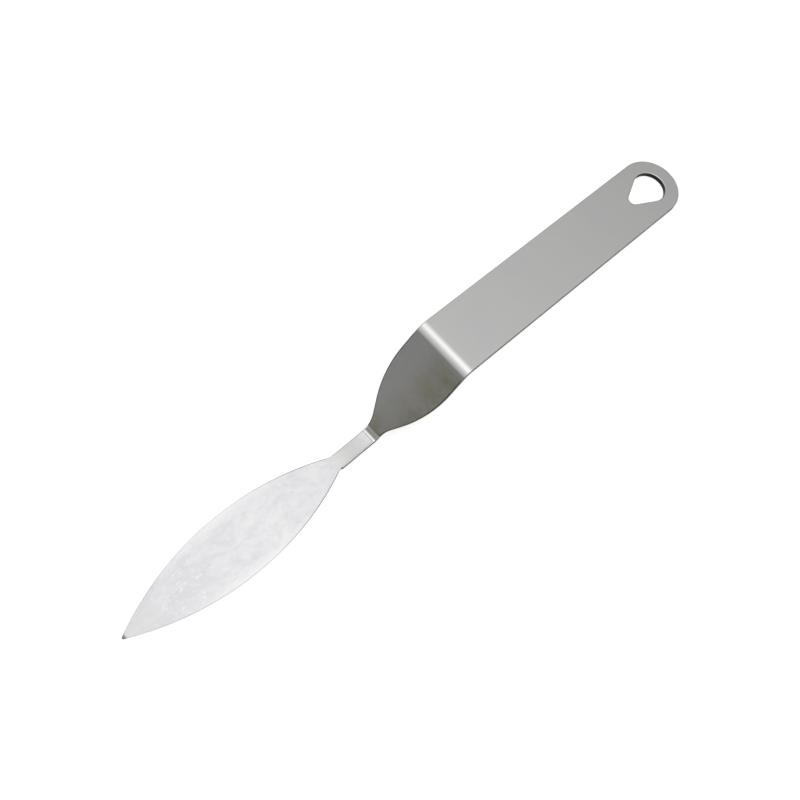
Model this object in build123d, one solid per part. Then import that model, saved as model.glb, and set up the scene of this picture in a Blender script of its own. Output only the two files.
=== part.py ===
from build123d import *
from math import asin, atan2, cos, degrees, hypot, radians, sin, sqrt, tan
import os

# All-steel palette knife: a bent flat strap, with a thin leaf blade welded on its neck tongue.
#
# Both pieces are drawn section by section in the strap frame: X runs from the butt to the tip and
# Z = 0 is the top face of the grip. The finished knife is then tipped about Y, until it rests on
# the butt's lower edge and on the outside of the neck bend, as it lies on a table.
# Lengths are millimetres and angles are degrees. A bend is placed by its corner, the line where
# the top faces of its two sides would meet if it were sharp.

# Strap
STRAP_WIDTH = 20.0
STRAP_THICKNESS = 1.8
GRIP_LENGTH = 105.7                 # butt to the corner of the grip bend
SHOULDER_LENGTH = 37.4              # corner of the grip bend to the corner of the neck bend
SHOULDER_SLOPE = 55.1               # below the grip
GRIP_BEND_INSIDE_RADIUS = 3.2
NECK_BEND_INSIDE_RADIUS = 1.4
STRAP_EDGE_RADIUS = 0.25

# Shoulder outline, which narrows from the strap's width to the neck's
SHOULDER_CONVEX_RADIUS = 40.0
SHOULDER_CONCAVE_RADIUS = 12.0
SHOULDER_TAPER = 27.0               # steepest angle between the edge and the centre line

# Neck tongue
NECK_WIDTH = 5.0
NECK_SLOPE = 3.5                    # below the grip, shared by the tongue and the blade
TONGUE_LENGTH = 14.1                # corner of the neck bend to the tongue's blunt end
TONGUE_CORNER_RADIUS = 1.2

# Teardrop hanging hole: two circles and their common tangents, the point towards the blade
HOLE_RADIUS = 5.3
HOLE_POINT_RADIUS = 1.9
HOLE_POINT_OFFSET = 7.8

# Blade
BLADE_THICKNESS = 0.6
TIP_THICKNESS = 0.35
BLADE_EDGE_RADIUS = 0.1
TANG_WIDTH = 4.3
TANG_START = 0.9                    # from the corner of the neck bend
LEAF_LENGTH = 78.6                  # tongue's end to the blade's tip
LEAF_HALF_WIDTH = 10.15
LEAF_WIDEST_AT = 37.2               # from the tongue's end
LEAF_NOSE_RADIUS = 0.45
HEEL_RADIUS = 8.0
FLEX_POINT = 10.0                   # tongue's end to the hinge that stands for the leaf's bending
FLEX_GAP = 0.2                      # cut between the stiff root and the springy leaf

# Shallow round marks left by spot welding on the underside of the tongue
WELD_MARK_RADIUS = 1.2
WELD_MARK_DEPTH = 0.12
WELD_MARK_POSITIONS = (5.2, 10.0)   # from the corner of the neck bend

# Sizes that follow from the ones above
BUTT_RADIUS = STRAP_WIDTH / 2
NECK_TURN = SHOULDER_SLOPE - NECK_SLOPE
GRIP_BEND_OUTSIDE_RADIUS = GRIP_BEND_INSIDE_RADIUS + STRAP_THICKNESS
NECK_BEND_OUTSIDE_RADIUS = NECK_BEND_INSIDE_RADIUS + STRAP_THICKNESS
GRIP_BEND_SETBACK = GRIP_BEND_OUTSIDE_RADIUS * tan(radians(SHOULDER_SLOPE / 2))
NECK_BEND_SETBACK = NECK_BEND_INSIDE_RADIUS * tan(radians(NECK_TURN / 2))
GRIP_END = GRIP_LENGTH - GRIP_BEND_SETBACK
SHOULDER_END = SHOULDER_LENGTH - NECK_BEND_SETBACK
BLADE_TIP = TONGUE_LENGTH + LEAF_LENGTH
ROOMY = 4 * STRAP_WIDTH             # larger than any section, for cutting solids


def sloped_plane(origin, slope):
    """A plane whose X falls by slope degrees along the knife and whose Z leaves the top face."""
    fall = radians(slope)
    return Plane(origin, x_dir=(cos(fall), 0, -sin(fall)), z_dir=(sin(fall), 0, cos(fall)))


GRIP_PLANE = Plane.XY
SHOULDER_PLANE = sloped_plane((GRIP_LENGTH, 0, 0), SHOULDER_SLOPE)
NECK_PLANE = sloped_plane(SHOULDER_PLANE.from_local_coords(Vector(SHOULDER_LENGTH, 0, 0)), NECK_SLOPE)


def mirrored_face(edges, start_x, end_x):
    """The face between a half outline and its mirror image in the centre line."""
    first = edges[0] @ 0
    last = edges[-1] @ 1
    sides = [Line((start_x, 0), first)]
    if last.Y > 0:
        sides.append(Line(last, (end_x, 0)))
    half = make_face(Curve() + edges + sides + [Line((end_x, 0), (start_x, 0))])
    return half + mirror(half, about=Plane.XZ)


def rounded(solid, radius):
    """The solid with every sharp edge rounded; edges between tangent faces stay as they are."""
    sharp = []
    for edge in solid.edges():
        middle = edge @ 0.5
        beside = [face for face in solid.faces() if any(edge.is_same(other) for other in face.edges())]
        if len(beside) == 2 and beside[0].normal_at(middle).dot(beside[1].normal_at(middle)) < 0.5:
            sharp.append(edge)
    return fillet(sharp, radius)


def plate(sketch, plane):
    """A flat stretch of the strap, with its top face on the given plane."""
    return plane * extrude(sketch, amount=-STRAP_THICKNESS)


def bend(plane, start_x, inside_radius, turn, width):
    """A bend that starts start_x along the plane; a positive turn is downwards."""
    centre_z = -inside_radius - STRAP_THICKNESS if turn > 0 else inside_radius
    axis = Axis((0, 0, centre_z), (0, 1 if turn > 0 else -1, 0))
    section = Plane.YZ * Pos(0, -STRAP_THICKNESS / 2) * Rectangle(width, STRAP_THICKNESS)
    return plane * Pos(start_x, 0, 0) * revolve(section, axis, revolution_arc=abs(turn))


def hanging_hole():
    """Teardrop around the butt's centre."""
    round_end = Pos(BUTT_RADIUS, 0) * Circle(HOLE_RADIUS)
    point = Pos(BUTT_RADIUS + HOLE_POINT_OFFSET, 0) * Circle(HOLE_POINT_RADIUS)
    return make_hull(round_end.edges() + point.edges())


def grip_sketch():
    """Grip outline with its semicircular butt and the hanging hole."""
    length = GRIP_END - BUTT_RADIUS
    body = Pos(BUTT_RADIUS + length / 2, 0) * Rectangle(length, STRAP_WIDTH)
    return body + Pos(BUTT_RADIUS, 0) * Circle(BUTT_RADIUS) - hanging_hole()


def shoulder_sketch():
    """Shoulder outline between the two bends, measured from the corner of the grip bend."""
    taper = radians(SHOULDER_TAPER)
    narrowing = (STRAP_WIDTH - NECK_WIDTH) / 2
    radii = SHOULDER_CONVEX_RADIUS + SHOULDER_CONCAVE_RADIUS
    slant = (narrowing - radii * (1 - cos(taper))) / sin(taper)
    taper_start = SHOULDER_END - radii * sin(taper) - slant * cos(taper)
    edge = Line((GRIP_BEND_SETBACK, STRAP_WIDTH / 2), (taper_start, STRAP_WIDTH / 2))
    convex = JernArc(edge @ 1, edge % 1, SHOULDER_CONVEX_RADIUS, -SHOULDER_TAPER)
    straight = Line(convex @ 1, convex @ 1 + (convex % 1) * slant)
    concave = JernArc(straight @ 1, straight % 1, SHOULDER_CONCAVE_RADIUS, SHOULDER_TAPER)
    return mirrored_face([edge, convex, straight, concave], GRIP_BEND_SETBACK, SHOULDER_END)


def tongue_sketch():
    """Neck tongue from the neck bend to its blunt end with rounded corners."""
    length = TONGUE_LENGTH - NECK_BEND_SETBACK
    outline = Pos(NECK_BEND_SETBACK + length / 2, 0) * Rectangle(length, NECK_WIDTH)
    return fillet(outline.vertices().group_by(Axis.X)[-1], TONGUE_CORNER_RADIUS)


def weld_mark(position):
    """The round dent under one spot weld."""
    centre = Pos(position, 0, WELD_MARK_DEPTH / 2 - STRAP_THICKNESS)
    return NECK_PLANE * centre * Cylinder(WELD_MARK_RADIUS, WELD_MARK_DEPTH)


def make_handle():
    """The bent strap: grip, shoulder and tongue in one piece of steel."""
    strap = plate(grip_sketch(), GRIP_PLANE)
    strap += bend(GRIP_PLANE, GRIP_END, GRIP_BEND_INSIDE_RADIUS, SHOULDER_SLOPE, STRAP_WIDTH)
    strap += plate(shoulder_sketch(), SHOULDER_PLANE)
    strap += bend(SHOULDER_PLANE, SHOULDER_END, NECK_BEND_INSIDE_RADIUS, -NECK_TURN, NECK_WIDTH)
    strap += plate(tongue_sketch(), NECK_PLANE)
    strap = rounded(strap, STRAP_EDGE_RADIUS)
    for position in WELD_MARK_POSITIONS:
        strap -= weld_mark(position)
    return strap


def blade_sketch():
    """Blade outline: parallel tang, concave heel, one long arc to a small rounded nose."""
    widest = TONGUE_LENGTH + LEAF_WIDEST_AT
    reach = BLADE_TIP - LEAF_NOSE_RADIUS - widest
    rise = LEAF_HALF_WIDTH ** 2 - LEAF_NOSE_RADIUS ** 2
    side_radius = (reach ** 2 + rise) / (2 * (LEAF_HALF_WIDTH - LEAF_NOSE_RADIUS))
    between = side_radius + HEEL_RADIUS
    heel_depth = between + TANG_WIDTH / 2 - LEAF_HALF_WIDTH
    heel_length = sqrt(between ** 2 - heel_depth ** 2)
    heel_turn = degrees(asin(heel_length / between))
    nose_turn = degrees(asin(reach / (side_radius - LEAF_NOSE_RADIUS)))
    tang_side = Line((TANG_START, TANG_WIDTH / 2), (widest - heel_length, TANG_WIDTH / 2))
    heel = JernArc(tang_side @ 1, tang_side % 1, HEEL_RADIUS, heel_turn)
    side = JernArc(heel @ 1, heel % 1, side_radius, -heel_turn - nose_turn)
    nose = JernArc(side @ 1, side % 1, LEAF_NOSE_RADIUS, nose_turn - 90)
    return mirrored_face([tang_side, heel, side, nose], TANG_START, BLADE_TIP)


def make_blade():
    """Root and leaf: flat on top, tapering below from the tongue's end to the tip."""
    flat = extrude(blade_sketch(), amount=BLADE_THICKNESS)
    profile = Polygon(
        (TANG_START, 0),
        (TONGUE_LENGTH, 0),
        (BLADE_TIP, BLADE_THICKNESS - TIP_THICKNESS),
        (BLADE_TIP, BLADE_THICKNESS),
        (TANG_START, BLADE_THICKNESS),
        align=None,
    )
    blade = flat & extrude(Plane.XZ * profile, amount=ROOMY, both=True)
    cut = Pos(TONGUE_LENGTH + FLEX_POINT, 0, 0) * Box(FLEX_GAP, ROOMY, ROOMY)
    root, leaf = rounded(blade - cut, BLADE_EDGE_RADIUS).solids().sort_by(Axis.X)
    return NECK_PLANE * root, NECK_PLANE * leaf


def resting_location():
    """Where the knife lies still: tipped onto the butt's lower edge and the neck bend."""
    butt = Vector(STRAP_EDGE_RADIUS, 0, STRAP_EDGE_RADIUS - STRAP_THICKNESS)
    neck = SHOULDER_PLANE.from_local_coords(Vector(SHOULDER_END, 0, NECK_BEND_INSIDE_RADIUS))
    span = neck - butt
    rise = asin((NECK_BEND_OUTSIDE_RADIUS - STRAP_EDGE_RADIUS) / hypot(span.X, span.Z))
    return Rot(0, degrees(atan2(span.Z, span.X) - rise), 0)


handle = make_handle()
blade_root, blade_leaf = make_blade()
nodes = {"handle": handle, "blade_root": blade_root, "blade_leaf": blade_leaf}
rest = resting_location()
box = Compound([rest * solid for solid in nodes.values()]).bounding_box()
placing = Pos(-box.center().X, -box.center().Y, -box.min.Z) * rest

os.makedirs("parts", exist_ok=True)
for name, solid in nodes.items():
    export_step(placing * solid, f"parts/{name}.step")
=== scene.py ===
from math import asin, atan2, ceil, cos, degrees, hypot, pi, radians, sin, sqrt, tan

import bmesh
import bpy
from mathutils import Matrix, Vector
from mathutils.geometry import delaunay_2d_cdt
from mathutils.kdtree import KDTree


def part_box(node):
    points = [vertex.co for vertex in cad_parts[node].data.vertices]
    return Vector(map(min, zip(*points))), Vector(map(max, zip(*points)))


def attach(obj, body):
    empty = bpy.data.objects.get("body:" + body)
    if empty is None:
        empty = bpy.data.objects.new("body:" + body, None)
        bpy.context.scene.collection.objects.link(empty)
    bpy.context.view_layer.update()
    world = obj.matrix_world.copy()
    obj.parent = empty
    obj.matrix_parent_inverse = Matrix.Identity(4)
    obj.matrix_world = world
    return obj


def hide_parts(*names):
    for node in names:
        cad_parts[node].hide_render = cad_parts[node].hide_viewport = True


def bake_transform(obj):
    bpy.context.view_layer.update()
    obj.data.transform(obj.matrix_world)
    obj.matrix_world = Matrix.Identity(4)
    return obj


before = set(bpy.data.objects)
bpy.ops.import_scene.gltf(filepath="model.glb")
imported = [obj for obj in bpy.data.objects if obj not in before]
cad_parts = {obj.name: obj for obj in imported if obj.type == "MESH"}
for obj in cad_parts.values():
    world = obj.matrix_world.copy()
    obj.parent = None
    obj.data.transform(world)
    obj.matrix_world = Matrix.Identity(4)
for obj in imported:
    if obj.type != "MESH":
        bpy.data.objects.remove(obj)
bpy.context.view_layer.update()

# All-steel palette knife: a bent strap with a thin, springy leaf blade spot-welded on its neck.
#
# Both pieces are laid out flat first, X from the butt to the tip and Y across, and then placed:
# the strap is carried round its two bends, and the blade lies on the neck. Lengths are millimetres
# until a piece becomes a Blender mesh. The sizes are the ones that the CAD parts have.
MM = 0.001

STRAP_WIDTH = 20.0
STRAP_THICKNESS = 1.8
GRIP_LENGTH = 105.7                 # butt to the corner of the grip bend
SHOULDER_LENGTH = 37.4              # corner of the grip bend to the corner of the neck bend
SHOULDER_SLOPE = 55.1               # degrees below the grip
GRIP_BEND_INSIDE_RADIUS = 3.2
NECK_BEND_INSIDE_RADIUS = 1.4
STRAP_EDGE_RADIUS = 0.25

SHOULDER_CONVEX_RADIUS = 40.0
SHOULDER_CONCAVE_RADIUS = 12.0
SHOULDER_TAPER = 27.0               # steepest angle between the shoulder's edge and the centre line

NECK_WIDTH = 5.0
NECK_SLOPE = 3.5                    # degrees below the grip
TONGUE_LENGTH = 14.1                # corner of the neck bend to the tongue's blunt end
TONGUE_CORNER_RADIUS = 1.2

HOLE_RADIUS = 5.3
HOLE_POINT_RADIUS = 1.9
HOLE_POINT_OFFSET = 7.8

BLADE_THICKNESS = 0.6
TIP_THICKNESS = 0.35
BLADE_EDGE_RADIUS = 0.1
TANG_WIDTH = 4.3
TANG_START = 0.9                    # from the corner of the neck bend
TANG_CORNER_RADIUS = 0.3
LEAF_LENGTH = 78.6                  # tongue's end to the blade's tip
LEAF_HALF_WIDTH = 10.15
LEAF_WIDEST_AT = 37.2               # from the tongue's end
LEAF_NOSE_RADIUS = 0.45
HEEL_RADIUS = 8.0

WELD_MARK_RADIUS = 1.2
WELD_MARK_DEPTH = 0.12
WELD_MARK_POSITIONS = (5.2, 10.0)   # from the corner of the neck bend

# Sizes that follow from the ones above
BUTT_RADIUS = STRAP_WIDTH / 2
NECK_TURN = SHOULDER_SLOPE - NECK_SLOPE
GRIP_BEND_SETBACK = (GRIP_BEND_INSIDE_RADIUS + STRAP_THICKNESS) * tan(radians(SHOULDER_SLOPE / 2))
NECK_BEND_SETBACK = NECK_BEND_INSIDE_RADIUS * tan(radians(NECK_TURN / 2))
GRIP_FLAT = GRIP_LENGTH - GRIP_BEND_SETBACK
SHOULDER_FLAT = SHOULDER_LENGTH - NECK_BEND_SETBACK - GRIP_BEND_SETBACK
TONGUE_FLAT = TONGUE_LENGTH - NECK_BEND_SETBACK
GRIP_BEND_LENGTH = (GRIP_BEND_INSIDE_RADIUS + STRAP_THICKNESS / 2) * radians(SHOULDER_SLOPE)
NECK_BEND_LENGTH = (NECK_BEND_INSIDE_RADIUS + STRAP_THICKNESS / 2) * radians(NECK_TURN)
STRETCHES = (                       # length along the middle of the steel, and turn in degrees
    (GRIP_FLAT, 0),
    (GRIP_BEND_LENGTH, SHOULDER_SLOPE),
    (SHOULDER_FLAT, 0),
    (NECK_BEND_LENGTH, -NECK_TURN),
    (TONGUE_FLAT, 0),
)
SHOULDER_START = GRIP_FLAT + GRIP_BEND_LENGTH
SHOULDER_END = SHOULDER_START + SHOULDER_FLAT
TONGUE_START = SHOULDER_END + NECK_BEND_LENGTH
BLADE_TIP = TONGUE_LENGTH + LEAF_LENGTH

# Mesh steps
COARSE = 2.0
FINE = 0.16                         # round the bends
EDGE_STEPS = 4
EDGE_MARGIN = 0.15                  # a narrow flat ring that keeps the faces' shading flat
STRAP_FACE_GAP = 0.3                # from that ring to the nearest points of the face
BLADE_FACE_GAP = 0.4
WELD_MARK_RINGS = (0.3, 0.6, 0.8, 1.0, 1.15)    # shares of a weld mark's radius
WELD_MARK_SPOKES = 24


# ---------------------------------------------------------------- outlines on the flat

def line(length, step=COARSE):
    """A straight move: its length, its turn and how many steps it is drawn in."""
    return length, 0.0, max(1, round(length / step))


def arc(radius, turn, step=6):
    """A round move through turn degrees, positive to the left."""
    return radius * radians(abs(turn)), radians(turn), max(2, ceil(abs(turn) / step))


def half_outline(start_x, moves):
    """Points from (start_x, 0) back to the centre line, each with the direction to its left."""
    x, y, heading = start_x, 0.0, pi / 2
    points = [(x, y, -sin(heading), cos(heading))]
    for length, turn, steps in moves:
        swing = turn / steps
        chord = length / steps if turn == 0 else 2 * length / abs(turn) * sin(abs(swing) / 2)
        for _ in range(steps):
            heading += swing / 2
            x += chord * cos(heading)
            y += chord * sin(heading)
            heading += swing / 2
            points.append((x, y, -sin(heading), cos(heading)))
    return points


def rim(half, inward):
    """The closed outline from its half; inward is 1 where the steel lies to the left, or else -1."""
    mirrored = [(x, -y, left_x, -left_y) for x, y, left_x, left_y in reversed(half[1:-1])]
    return [(x, y, inward * left_x, inward * left_y) for x, y, left_x, left_y in half + mirrored]


def strap_rim():
    """Grip, shoulder and tongue, with the bends rolled out flat."""
    narrowing = (STRAP_WIDTH - NECK_WIDTH) / 2
    taper = radians(SHOULDER_TAPER)
    radii = SHOULDER_CONVEX_RADIUS + SHOULDER_CONCAVE_RADIUS
    slant = (narrowing - radii * (1 - cos(taper))) / sin(taper)
    parallel = SHOULDER_FLAT - radii * sin(taper) - slant * cos(taper)
    moves = [
        arc(BUTT_RADIUS, -90, 3),
        line(GRIP_FLAT - BUTT_RADIUS),
        line(GRIP_BEND_LENGTH, FINE),
        line(parallel),
        arc(SHOULDER_CONVEX_RADIUS, -SHOULDER_TAPER, 1.5),
        line(slant),
        arc(SHOULDER_CONCAVE_RADIUS, SHOULDER_TAPER, 3),
        line(NECK_BEND_LENGTH, FINE),
        line(TONGUE_FLAT - TONGUE_CORNER_RADIUS, 1.0),
        arc(TONGUE_CORNER_RADIUS, -90, 15),
        line(NECK_WIDTH / 2 - TONGUE_CORNER_RADIUS, 0.5),
    ]
    return rim(half_outline(0.0, moves), -1)


def hole_rim():
    """The teardrop hanging hole round the butt's centre, its point towards the blade."""
    lean = degrees(asin((HOLE_RADIUS - HOLE_POINT_RADIUS) / HOLE_POINT_OFFSET))
    side = HOLE_POINT_OFFSET * cos(radians(lean))
    moves = [
        arc(HOLE_RADIUS, -90 - lean, 4),
        line(side, 0.8),
        arc(HOLE_POINT_RADIUS, lean - 90, 8),
    ]
    return rim(half_outline(BUTT_RADIUS - HOLE_RADIUS, moves), 1)


def blade_rim():
    """Parallel tang, concave heel, and one long arc to a small rounded nose."""
    widest = TONGUE_LENGTH + LEAF_WIDEST_AT
    reach = BLADE_TIP - LEAF_NOSE_RADIUS - widest
    rise = LEAF_HALF_WIDTH ** 2 - LEAF_NOSE_RADIUS ** 2
    side_radius = (reach ** 2 + rise) / (2 * (LEAF_HALF_WIDTH - LEAF_NOSE_RADIUS))
    between = side_radius + HEEL_RADIUS
    heel_length = sqrt(between ** 2 - (between + TANG_WIDTH / 2 - LEAF_HALF_WIDTH) ** 2)
    heel_turn = degrees(asin(heel_length / between))
    nose_turn = degrees(asin(reach / (side_radius - LEAF_NOSE_RADIUS)))
    moves = [
        line(TANG_WIDTH / 2 - TANG_CORNER_RADIUS, 0.6),
        arc(TANG_CORNER_RADIUS, -90, 30),
        line(widest - heel_length - TANG_START - TANG_CORNER_RADIUS, 1.0),
        arc(HEEL_RADIUS, heel_turn, 3),
        arc(side_radius, -heel_turn - nose_turn, 0.6),
        arc(LEAF_NOSE_RADIUS, nose_turn - 90, 15),
    ]
    return rim(half_outline(TANG_START, moves), -1)


# ---------------------------------------------------------------- flat to finished place

def along_strap(distance):
    """Place and slope of the middle of the steel, that far from the butt."""
    x, z, slope = 0.0, -STRAP_THICKNESS / 2, 0.0
    for length, turn in STRETCHES:
        part = min(distance, length)
        if turn:
            radius = length / radians(turn)
            bent = slope + part / radius
            x += radius * (sin(bent) - sin(slope))
            z += radius * (cos(bent) - cos(slope))
            slope = bent
        else:
            x += part * cos(slope)
            z -= part * sin(slope)
        distance -= part
        if distance <= 0:
            break
    return x, z, slope


def on_strap(x, y, depth):
    """A point of the strap, depth below its top face."""
    middle_x, middle_z, slope = along_strap(x)
    rise = STRAP_THICKNESS / 2 - depth
    return Vector((middle_x + rise * sin(slope), y, middle_z + rise * cos(slope)))


def on_neck(x, y, depth):
    """A point of the blade, depth below its top face; X starts at the corner of the neck bend."""
    rise = BLADE_THICKNESS - depth
    fall = radians(NECK_SLOPE)
    corner_x = GRIP_LENGTH + SHOULDER_LENGTH * cos(radians(SHOULDER_SLOPE))
    corner_z = -SHOULDER_LENGTH * sin(radians(SHOULDER_SLOPE))
    place_x = corner_x + x * cos(fall) + rise * sin(fall)
    place_z = corner_z - x * sin(fall) + rise * cos(fall)
    return Vector((place_x, y, place_z))


def strap_thickness(x, y):
    """The strap's thickness, less the shallow dents under the spot welds."""
    dent = 0.0
    for position in WELD_MARK_POSITIONS:
        reach = hypot(x - TONGUE_START - position + NECK_BEND_SETBACK, y) / WELD_MARK_RADIUS
        dent += WELD_MARK_DEPTH * max(0.0, 1 - reach ** 4)
    return STRAP_THICKNESS - dent


def blade_thickness(x, y):
    """Full along the tang, and ground thinner in a straight taper from the tongue's end to the tip."""
    share = max(0.0, x - TONGUE_LENGTH) / LEAF_LENGTH
    return BLADE_THICKNESS + (TIP_THICKNESS - BLADE_THICKNESS) * share


def resting_tilt():
    """The turn about Y that lays the knife on the butt's lower edge and the neck bend."""
    butt_x, butt_z = STRAP_EDGE_RADIUS, STRAP_EDGE_RADIUS - STRAP_THICKNESS
    end = SHOULDER_LENGTH - NECK_BEND_SETBACK
    slope = radians(SHOULDER_SLOPE)
    neck_x = GRIP_LENGTH + end * cos(slope) + NECK_BEND_INSIDE_RADIUS * sin(slope)
    neck_z = -end * sin(slope) + NECK_BEND_INSIDE_RADIUS * cos(slope)
    run, drop = neck_x - butt_x, neck_z - butt_z
    lift = NECK_BEND_INSIDE_RADIUS + STRAP_THICKNESS - STRAP_EDGE_RADIUS
    return Matrix.Rotation(atan2(drop, run) - asin(lift / hypot(run, drop)), 4, "Y")


# ---------------------------------------------------------------- meshes

def inside(rims, x, y):
    """Whether a flat point is in the steel, by counting the outlines' crossings above it."""
    crossings = 0
    for loop in rims:
        for (ax, ay, *_), (bx, by, *_) in zip(loop, loop[1:] + loop[:1]):
            if (ax > x) != (bx > x) and ay + (by - ay) * (x - ax) / (bx - ax) > y:
                crossings += 1
    return crossings % 2 == 1


def grid(stations, half_width):
    """Flat points in rows across the steel at each station."""
    rows = [row * COARSE for row in range(-round(half_width / COARSE), round(half_width / COARSE) + 1)]
    return [(x, y) for x in stations for y in rows]


def spaced(start, end, step):
    """Evenly spaced stations from start to end."""
    count = max(1, round((end - start) / step))
    return [start + (end - start) * i / count for i in range(count + 1)]


def face_points(rims, candidates, clearance):
    """The candidates that are in the steel and clear of every outline."""
    points = [point for loop in rims for point in loop]
    tree = KDTree(len(points))
    for index, (x, y, *_) in enumerate(points):
        tree.insert((x, y, 0), index)
    tree.balance()
    return [
        (x, y) for x, y in candidates
        if inside(rims, x, y) and tree.find((x, y, 0))[2] > clearance
    ]


def edge_rings(radius):
    """Inset from the outline and drop from the face for each ring, from the flat to the wall."""
    rings = [(radius + EDGE_MARGIN, 0.0)]
    for step in range(EDGE_STEPS + 1):
        swing = pi / 2 * step / EDGE_STEPS
        rings.append((radius * (1 - sin(swing)), radius * (1 - cos(swing))))
    return rings


def filled(rims, inset, inner):
    """Triangles of the flat face inside the innermost rings, and the points that they join."""
    rings = [[(x + inset * in_x, y + inset * in_y) for x, y, in_x, in_y in loop] for loop in rims]
    flat, edges = [], []
    for ring in rings:
        first = len(flat)
        flat += [Vector(point) for point in ring]
        edges += [(first + i, first + (i + 1) % len(ring)) for i in range(len(ring))]
    flat += [Vector(point) for point in inner]
    places, _, faces, origins, _, _ = delaunay_2d_cdt(flat, edges, [], 0, 1e-6)
    kept = []
    for face in faces:
        middle = sum((places[i] for i in face), Vector((0, 0))) / len(face)
        if inside(rings, middle.x, middle.y):
            kept.append([origins[i][0] for i in face])
    return flat, kept


def plate(name, rims, inner, radius, thickness, place):
    """A steel plate with rounded edges. Its attribute flat holds the point before bending, in
    millimetres, and worn runs from 0 on the faces to 1 on the rounded edges."""
    mesh_data = bmesh.new()
    flat_layer = mesh_data.verts.layers.float_vector.new("flat")
    rounded_edge_layer = mesh_data.verts.layers.float.new("rounded_edge_mask")

    def vertex(x, y, drop, under, on_edge):
        depth = thickness(x, y) - drop if under else drop
        made = mesh_data.verts.new(place(x, y, depth))
        made[flat_layer] = (x, y, -depth)
        made[rounded_edge_layer] = on_edge
        return made

    rings = edge_rings(radius)
    sides = [(inset, drop, False) for inset, drop in rings]
    sides += [(inset, drop, True) for inset, drop in reversed(rings)]
    loops = []
    for inset, drop, under in sides:
        on_edge = 1.0 if inset <= radius else 0.0
        loops.append([
            [vertex(x + inset * in_x, y + inset * in_y, drop, under, on_edge) for x, y, in_x, in_y in loop]
            for loop in rims
        ])
    wall = range(1 + EDGE_STEPS // 2, len(sides) - 2 - EDGE_STEPS // 2)
    for ring, (above, below) in enumerate(zip(loops, loops[1:])):
        for upper, lower in zip(above, below):
            for i in range(len(upper)):
                j = (i + 1) % len(upper)
                face = mesh_data.faces.new((upper[i], upper[j], lower[j], lower[i]))
                face.material_index = int(ring in wall)

    flat, triangles = filled(rims, rings[0][0], inner)
    for ring, under in ((loops[0], False), (loops[-1], True)):
        verts = [v for loop in ring for v in loop]
        verts += [vertex(p.x, p.y, 0.0, under, 0.0) for p in flat[len(verts):]]
        for triangle in triangles:
            mesh_data.faces.new([verts[i] for i in triangle])
    bmesh.ops.recalc_face_normals(mesh_data, faces=mesh_data.faces)
    mesh = bpy.data.meshes.new(name)
    mesh_data.to_mesh(mesh)
    mesh_data.free()
    mesh.polygons.foreach_set("use_smooth", [True] * len(mesh.polygons))
    piece = bpy.data.objects.new(name, mesh)
    bpy.context.scene.collection.objects.link(piece)
    return piece


def weld_mark_points():
    """Rings of flat points that carry the round dents under the spot welds."""
    points = []
    for position in WELD_MARK_POSITIONS:
        centre_x = TONGUE_START + position - NECK_BEND_SETBACK
        for share in WELD_MARK_RINGS:
            reach = share * WELD_MARK_RADIUS
            for spoke in range(WELD_MARK_SPOKES):
                angle = 2 * pi * spoke / WELD_MARK_SPOKES
                points.append((centre_x + reach * cos(angle), reach * sin(angle)))
    return points


def make_strap():
    """The bent handle strap."""
    rims = [strap_rim(), hole_rim()]
    stations = spaced(COARSE, GRIP_FLAT, COARSE)
    stations += spaced(GRIP_FLAT, SHOULDER_START, FINE)[1:]
    stations += spaced(SHOULDER_START, SHOULDER_END, COARSE)[1:]
    stations += spaced(SHOULDER_END, TONGUE_START, FINE)[1:]
    stations += spaced(TONGUE_START, TONGUE_START + TONGUE_FLAT, 1.0)[1:-1]
    inner = grid(stations, STRAP_WIDTH / 2)
    inner += weld_mark_points()
    inner = face_points(rims, inner, STRAP_EDGE_RADIUS + EDGE_MARGIN + STRAP_FACE_GAP)
    return plate("handle_strap", rims, inner, STRAP_EDGE_RADIUS, strap_thickness, on_strap)


def make_blade():
    """Tang and leaf in one piece of thin steel."""
    rims = [blade_rim()]
    stations = spaced(TANG_START, BLADE_TIP, 1.0)
    clearance = BLADE_EDGE_RADIUS + EDGE_MARGIN + BLADE_FACE_GAP
    inner = face_points(rims, grid(stations, LEAF_HALF_WIDTH), clearance)
    return plate("blade", rims, inner, BLADE_EDGE_RADIUS, blade_thickness, on_neck)


def lay_down(pieces):
    """Brings the pieces into the row frame: tipped to rest, and set where the CAD handle lies.
    Returns the matrix, which also places single points."""
    tilt = resting_tilt()
    strap = pieces[0].data
    low_x = min((tilt @ v.co).x for v in strap.vertices)
    low_z = min((tilt @ v.co).z for v in strap.vertices)
    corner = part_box("handle")[0]
    shift = Matrix.Translation((corner.x - low_x * MM, 0, corner.z - low_z * MM))
    placing = shift @ Matrix.Scale(MM, 4) @ tilt
    for piece in pieces:
        piece.data.transform(placing)
    return placing


# ---------------------------------------------------------------- materials

def shader(name):
    """A new node material and its Principled shader."""
    material = bpy.data.materials.new(name)
    material.use_nodes = True
    return material, material.node_tree.nodes["Principled BSDF"]


def add(material, kind, inputs=None, **settings):
    """A node with its settings and its input values or links."""
    node = material.node_tree.nodes.new(kind)
    for key, value in settings.items():
        setattr(node, key, value)
    for key, value in (inputs or {}).items():
        if isinstance(value, bpy.types.NodeSocket):
            material.node_tree.links.new(value, node.inputs[key])
        else:
            node.inputs[key].default_value = value
    return node


def flat_point(material, scale):
    """The point on the flat steel, stretched by scale, as texture coordinates."""
    flat = add(material, "ShaderNodeAttribute", attribute_name="flat").outputs["Vector"]
    return add(material, "ShaderNodeVectorMath", {0: flat, 1: scale}, operation="MULTIPLY").outputs[0]


def flat_axis(material, axis):
    """Distance along (X) or across (Y) the flat steel, in millimetres."""
    flat = add(material, "ShaderNodeAttribute", attribute_name="flat").outputs["Vector"]
    return add(material, "ShaderNodeSeparateXYZ", {"Vector": flat}).outputs[axis]


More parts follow.
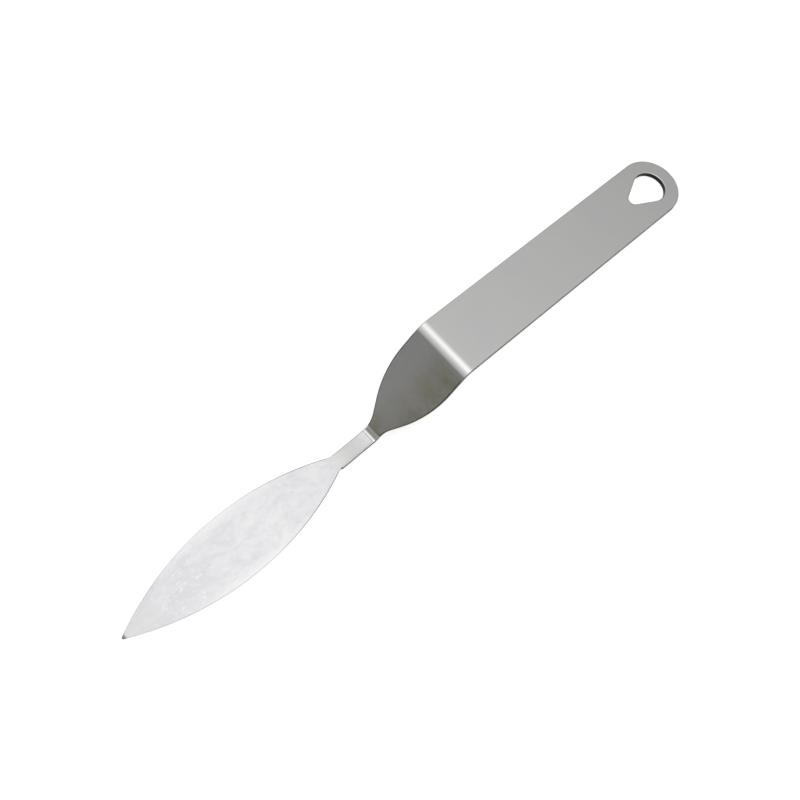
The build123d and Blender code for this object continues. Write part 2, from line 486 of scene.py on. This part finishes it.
def rounded_edge_mask(material):
    """0 on the faces and 1 on the rounded edges."""
    return add(material, "ShaderNodeAttribute", attribute_name="rounded_edge_mask").outputs["Fac"]


def noise(material, stretch, detail=4.0, roughness=0.6, distortion=0.0):
    """Noise on the flat steel; stretch is its frequency along, across and through, per millimetre."""
    return add(
        material,
        "ShaderNodeTexNoise",
        {"Vector": flat_point(material, stretch), "Scale": 1.0, "Detail": detail,
         "Roughness": roughness, "Distortion": distortion},
    ).outputs["Fac"]


def ramp(material, value, low, high, start, end):
    """value's stretch from low to high, mapped to start to end and held beyond it."""
    return add(
        material,
        "ShaderNodeMapRange",
        {"Value": value, "From Min": low, "From Max": high, "To Min": start, "To Max": end},
    ).outputs["Result"]


def mix(material, share, first, second):
    """first where share is 0 and second where it is 1; both are colours."""
    return add(
        material, "ShaderNodeMix", {"Factor": share, "A": first, "B": second}, data_type="RGBA"
    ).outputs["Result"]


def times(material, first, second):
    """Product of two numbers or sockets."""
    return add(material, "ShaderNodeMath", {0: first, 1: second}, operation="MULTIPLY").outputs[0]


def plus(material, first, second):
    """Sum of two numbers or sockets."""
    return add(material, "ShaderNodeMath", {0: first, 1: second}, operation="ADD").outputs[0]


def bump(material, height, strength, distance):
    """A surface direction roughened by height; distance is in metres."""
    return add(
        material, "ShaderNodeBump", {"Height": height, "Strength": strength, "Distance": distance}
    ).outputs["Normal"]


def metal(name):
    """A new metallic material with its shader."""
    material, steel = shader(name)
    steel.inputs["Metallic"].default_value = 1.0
    return material, steel


def finish(material, steel, colour, roughness, normal=None):
    """Links the sockets made for colour, roughness and surface direction to the shader."""
    links = material.node_tree.links
    links.new(colour, steel.inputs["Base Color"])
    links.new(roughness, steel.inputs["Roughness"])
    if normal is not None:
        links.new(normal, steel.inputs["Normal"])
    return material


def shoulder_painted_reflection(material, body, shoulder):
    """body with a painted olive and brown reflection on the shoulder, strongest towards one edge and
    towards the neck, and with dark specks."""
    along = flat_axis(material, "X")
    across = flat_axis(material, "Y")
    # painted reflection: olive and brown tints of a darker room, which darken the shoulder
    tone = ramp(material, noise(material, (0.07, 0.09, 0.1), detail=2), 0.4, 0.6, 0, 1)
    painted_reflection_tint = mix(material, tone, (0.46, 0.48, 0.37, 1), (0.50, 0.46, 0.36, 1))
    patches = noise(material, (0.16, 0.14, 0.1), detail=5, roughness=0.65)
    place = plus(
        material,
        ramp(material, across, -4, 6, 0.05, 1),
        ramp(material, along, SHOULDER_END - 9, SHOULDER_END - 3, 0, 0.5),
    )
    share = times(material, ramp(material, patches, 0.38, 0.6, 0.5, 1), place)
    body = mix(material, times(material, share, shoulder), body, painted_reflection_tint)
    specks = ramp(material, noise(material, (0.7, 0.9, 0.8), detail=2), 0.71, 0.76, 0, 0.5)
    return mix(material, times(material, specks, shoulder), body, (0.25, 0.25, 0.21, 1))


def strap_painted_highlights_and_dark_edges(material, body, shoulder):
    """body with a painted highlight band where the shoulder runs into the neck bend, painted highlights
    on the edges of grip and tongue, and dark edges on the shoulder."""
    along = flat_axis(material, "X")
    # painted highlight: a near-white band where the shoulder runs into the neck bend
    painted_bend_highlight = times(
        material,
        ramp(material, along, SHOULDER_END - 1.2, SHOULDER_END - 0.9, 0, 0.8),
        ramp(material, along, SHOULDER_END, SHOULDER_END + 0.6, 1, 0),
    )
    body = mix(material, painted_bend_highlight, body, (0.98, 0.98, 0.96, 1))
    # painted highlight along the rounded edges of grip and tongue; on the shoulder the edges are set dark
    tongue = ramp(material, along, SHOULDER_END, SHOULDER_END + 1, 0, 1)
    edge = mix(material, tongue, (0.78, 0.78, 0.77, 1), (0.98, 0.98, 0.97, 1))
    edge = mix(material, shoulder, edge, (0.07, 0.07, 0.06, 1))
    edge_share = plus(material, 0.5, times(material, plus(material, shoulder, tongue), 0.45))
    return mix(material, times(material, rounded_edge_mask(material), edge_share), body, edge)


def strap_steel():
    """Rolled stainless strip: satin and faintly clouded, with fine lines along it."""
    material, steel = metal("strap_steel")
    along = flat_axis(material, "X")
    clouds = noise(material, (0.07, 0.05, 0.05), detail=3)
    lines = noise(material, (0.15, 9.0, 9.0), detail=5, roughness=0.7)
    shoulder = times(
        material,
        ramp(material, along, SHOULDER_START - 1, SHOULDER_START + 1, 0, 1),
        ramp(material, along, SHOULDER_END - 1.4, SHOULDER_END - 1, 1, 0),
    )
    tone = ramp(material, clouds, 0.38, 0.62, 0, 1)
    body = mix(material, tone, (0.67, 0.665, 0.665, 1), (0.68, 0.685, 0.66, 1))
    body = shoulder_painted_reflection(material, body, shoulder)
    body = mix(material, ramp(material, lines, 0.3, 0.7, 0.07, 0), body, (0.44, 0.44, 0.43, 1))
    body = strap_painted_highlights_and_dark_edges(material, body, shoulder)
    roughness = plus(material, ramp(material, lines, 0.3, 0.7, 0.18, 0.25), times(material, clouds, 0.05))
    return finish(material, steel, body, roughness, bump(material, lines, 0.08, 0.00002))


def sheared_edge():
    """The strap's cut wall: dull steel with fine lines through its thickness, its dark colour partly the
    cut steel's own and partly painted shade, and almost black with painted shade in the hanging hole."""
    material, steel = metal("sheared_edge")
    teeth = noise(material, (7.0, 7.0, 0.6), detail=3)
    # partly painted shade: the wall is set much darker than cut steel alone
    body = mix(material, teeth, (0.04, 0.04, 0.037, 1), (0.13, 0.13, 0.125, 1))
    from_butt_centre = add(
        material,
        "ShaderNodeVectorMath",
        {0: flat_point(material, (1, 1, 1)), 1: (BUTT_RADIUS, 0, 0)},
        operation="DISTANCE",
    ).outputs["Value"]
    # painted shade: the hanging hole's wall is made nearly black
    painted_hole_shade = ramp(material, from_butt_centre, BUTT_RADIUS - 0.12, BUTT_RADIUS - 0.02, 0.9, 0)
    body = mix(material, painted_hole_shade, body, (0.012, 0.012, 0.01, 1))
    roughness = ramp(material, teeth, 0.3, 0.7, 0.4, 0.6)
    return finish(material, steel, body, roughness, bump(material, teeth, 0.3, 0.00004))


def blade_tone(material, body, edge_share):
    """body with a painted shadow line on the edge at the tang's start, edges that are dark round the
    heel, as far as edge_share says, and with a dull last stretch that ends in a dark nose."""
    along = flat_axis(material, "X")
    # painted shadow: a dark line on the tang's start edge, against the neck bend
    painted_tang_start_shadow = ramp(material, along, TANG_START + 0.3, TANG_START + 0.5, 0.7, 0)
    heel_edge = times(
        material,
        ramp(material, along, TONGUE_LENGTH - 1, TONGUE_LENGTH + 3, 0, 1),
        ramp(material, along, TONGUE_LENGTH + 12, TONGUE_LENGTH + 34, 1, 0.25),
    )
    dark_share = times(material, plus(material, painted_tang_start_shadow, heel_edge), edge_share)
    body = mix(material, dark_share, body, (0.15, 0.145, 0.13, 1))
    front = ramp(material, along, BLADE_TIP - 14, BLADE_TIP - 6, 0, 0.6)
    body = mix(material, front, body, (0.72, 0.73, 0.71, 1))
    nose = ramp(material, along, BLADE_TIP - 1.4, BLADE_TIP - 0.7, 0, 0.85)
    return mix(material, nose, body, (0.16, 0.16, 0.15, 1))


def ground_face(material, lines, clouds):
    """The blade's pale, cloudy colour, with a painted highlight towards its long edges, a little duller in
    its front half, with grinding lines, and with bright flecks, most of them towards the tip. The tang
    is slightly straw-coloured."""
    along = flat_axis(material, "X")
    front = ramp(material, along, TONGUE_LENGTH + 30, TONGUE_LENGTH + 60, 0, 1)
    cool = mix(material, front, (0.83, 0.83, 0.87, 1), (0.75, 0.74, 0.78, 1))
    pale = mix(material, front, (0.95, 0.95, 0.95, 1), (0.85, 0.845, 0.86, 1))
    body = mix(material, ramp(material, clouds, 0.36, 0.64, 0, 1), cool, pale)
    grey = noise(material, (0.35, 0.5, 0.3), detail=4, distortion=0.5)
    body = mix(material, ramp(material, grey, 0.52, 0.68, 0, 0.35), body, (0.70, 0.70, 0.71, 1))
    body = mix(material, ramp(material, lines, 0.3, 0.7, 0.15, 0), body, (0.64, 0.64, 0.66, 1))
    straw = times(
        material,
        ramp(material, along, TANG_START + 0.5, TANG_START + 5, 0, 1),
        ramp(material, along, TONGUE_LENGTH - 5, TONGUE_LENGTH + 2, 0.9, 0),
    )
    body = mix(material, straw, body, (0.73, 0.72, 0.70, 1))
    scratches = noise(material, (0.3, 0.9, 0.5), detail=6, roughness=0.78, distortion=1.0)
    flecks = times(
        material,
        ramp(material, scratches, 0.565, 0.64, 0, 1),
        ramp(material, along, TONGUE_LENGTH + 12, TONGUE_LENGTH + 50, 0.3, 1),
    )
    body = mix(material, flecks, body, (0.97, 0.96, 0.97, 1))
    # painted highlight: the blade turns near-white towards its long edges
    from_middle = add(
        material, "ShaderNodeMath", {0: flat_axis(material, "Y")}, operation="ABSOLUTE"
    ).outputs[0]
    return mix(material, ramp(material, from_middle, 6.5, 10, 0, 0.7), body, (1.0, 1.0, 1.0, 1))


def blade_steel():
    """Ground and lightly polished blade steel, with fine grinding lines across it."""
    material, steel = metal("blade_steel")
    lines = noise(material, (6.0, 0.5, 1.0), detail=5, roughness=0.75, distortion=0.3)
    clouds = noise(material, (0.14, 0.22, 0.1), detail=6, roughness=0.68, distortion=0.7)
    body = blade_tone(material, ground_face(material, lines, clouds), rounded_edge_mask(material))
    roughness = plus(material, ramp(material, lines, 0.3, 0.7, 0.36, 0.46), times(material, clouds, 0.08))
    return finish(material, steel, body, roughness, bump(material, lines, 0.15, 0.00002))


def ground_edge():
    """The blade's thin edge, ground bright and then dulled by use."""
    material, steel = metal("ground_edge")
    grit = noise(material, (5.0, 5.0, 3.0), detail=3)
    body = mix(material, grit, (0.42, 0.42, 0.42, 1), (0.6, 0.6, 0.6, 1))
    body = blade_tone(material, body, 1.0)
    return finish(material, steel, body, ramp(material, grit, 0.3, 0.7, 0.35, 0.5))


# ---------------------------------------------------------------- studio

TABLE_HALF_WIDTH = 4.0              # metres, as all lengths in this section
SOFTBOX_DIAMETER = 0.9
SOFTBOX_DISTANCE = 1.6
SOFTBOX_WATTS = 0.85
CAMERA_PLACE = (0.08334, 0.06208, 0.35071)
CAMERA_TURN = (15.937, -2.23, 137.263)   # degrees
CAMERA_LENS = 53.91                 # millimetres
DOME_STRENGTH = 1.2
DOME_LEAN = 8                       # degrees that the light's middle leans from overhead, towards -X
DOME_LEVELS = (                     # brightness by degrees above the dome's own horizon
    (0, 0.275),
    (27, 0.19),
    (34, 0.25),
    (42, 0.50),
    (54, 0.60),
    (62, 0.72),
    (70, 0.90),
    (90, 0.96),
)


def make_floor():
    """A wide, pale, evenly lit table top under the knife."""
    mesh = bpy.data.meshes.new("table")
    half = TABLE_HALF_WIDTH
    corners = [(-half, -half, 0), (half, -half, 0), (half, half, 0), (-half, half, 0)]
    mesh.from_pydata(corners, [], [(0, 1, 2, 3)])
    floor = bpy.data.objects.new("table", mesh)
    bpy.context.scene.collection.objects.link(floor)
    material, surface = shader("pale_table")
    surface.inputs["Roughness"].default_value = 0.9
    surface.inputs["Base Color"].default_value = (0.93, 0.93, 0.93, 1)
    surface.inputs["Emission Color"].default_value = (1, 1, 1, 1)
    surface.inputs["Emission Strength"].default_value = 0.55
    mesh.materials.append(material)


def make_light():
    """A soft disk overhead in a pale dome, which fades to a dimmer room round the horizon."""
    lean = radians(DOME_LEAN)
    light = bpy.data.lights.new("softbox", "AREA")
    light.shape = "DISK"
    light.size = SOFTBOX_DIAMETER
    light.energy = SOFTBOX_WATTS
    lamp = bpy.data.objects.new("softbox", light)
    lamp.location = (-SOFTBOX_DISTANCE * sin(lean), 0, SOFTBOX_DISTANCE * cos(lean))
    lamp.rotation_euler = (0, -lean, 0)
    bpy.context.scene.collection.objects.link(lamp)

    world = bpy.data.worlds.new("studio")
    bpy.context.scene.world = world
    world.use_nodes = True
    nodes, links = world.node_tree.nodes, world.node_tree.links
    direction = nodes.new("ShaderNodeTexCoord")
    height = nodes.new("ShaderNodeVectorMath")
    height.operation = "DOT_PRODUCT"
    height.inputs[1].default_value = (-sin(lean), 0, cos(lean))
    brightness = nodes.new("ShaderNodeValToRGB")
    links.new(direction.outputs["Generated"], height.inputs[0])
    links.new(height.outputs["Value"], brightness.inputs["Fac"])
    links.new(brightness.outputs["Color"], nodes["Background"].inputs["Color"])
    stops = brightness.color_ramp.elements
    stops.remove(stops[1])
    for elevation, level in DOME_LEVELS:
        stop = stops[0] if elevation == 0 else stops.new(sin(radians(elevation)))
        stop.color = (level, level, level, 1)
    nodes["Background"].inputs["Strength"].default_value = DOME_STRENGTH


def make_camera():
    """Nearly overhead, a little towards the blade and to one side, with a normal lens."""
    camera_data = bpy.data.cameras.new("camera")
    camera_data.lens = CAMERA_LENS
    camera = bpy.data.objects.new("camera", camera_data)
    camera.location = CAMERA_PLACE
    camera.rotation_euler = [radians(turn) for turn in CAMERA_TURN]
    bpy.context.scene.collection.objects.link(camera)
    bpy.context.scene.camera = camera
    bpy.context.scene.view_settings.view_transform = "Standard"


# ---------------------------------------------------------------- the knife in its scene

strap = make_strap()
blade = make_blade()
placing = lay_down([strap, blade])
for piece, materials in (
    (strap, (strap_steel(), sheared_edge())),
    (blade, (blade_steel(), ground_edge())),
):
    for material in materials:
        piece.data.materials.append(material)

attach(strap, "handle_body")
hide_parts("handle")
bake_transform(blade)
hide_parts("blade_root", "blade_leaf")

make_floor()
make_light()
make_camera()
